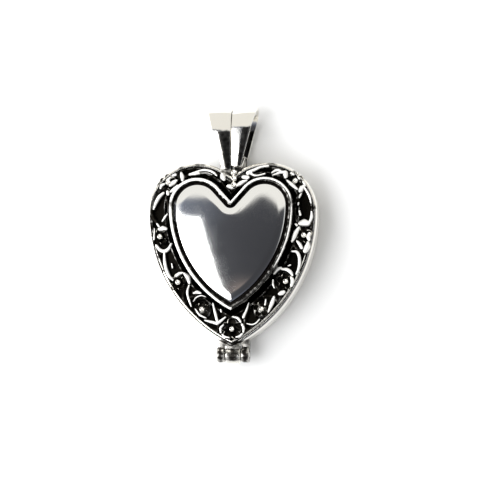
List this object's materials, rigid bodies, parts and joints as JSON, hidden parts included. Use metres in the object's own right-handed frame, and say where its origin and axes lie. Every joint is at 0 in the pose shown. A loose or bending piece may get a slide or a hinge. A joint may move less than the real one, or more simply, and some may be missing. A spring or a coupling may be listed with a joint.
{
  "type": "keepsake urn pendant",
  "caption": "Hollow heart locket pendant with a domed heart plate, a pierced floral border, a bail of two loops and a hinge at the tip.",
  "frame": {"origin": "under the middle of the pendant, on the surface that its flat back lies on", "axes": "+X across the heart to the right, +Y from the hinge at the tip to the bail, +Z out of the face"},
  "size_m": [0.0214, 0.032, 0.006],
  "materials": {
    "back_shell": "bright silver plate over brass",
    "front_cover": "silver plate over brass, blackened in the hollows",
    "heart_plate": "polished silver plate over brass",
    "filigree": "silver plate over brass, blackened in the hollows",
    "hinge_pin": "silver plate over brass"
  },
  "bodies": {
    "back": {"back_shell": "back_shell", "hinge_pin": "hinge_pin"},
    "cover": {"front_cover": "front_cover", "heart_plate": "heart_plate", "filigree": "filigree"}
  },
  "joints": [
    {"name": "cover_hinge", "type": "hinge", "parent": "back", "child": "cover", "pos_m": [0, -0.01503, 0.00253], "axis": [1, 0, 0], "range_deg": [0, 120]}
  ]
}
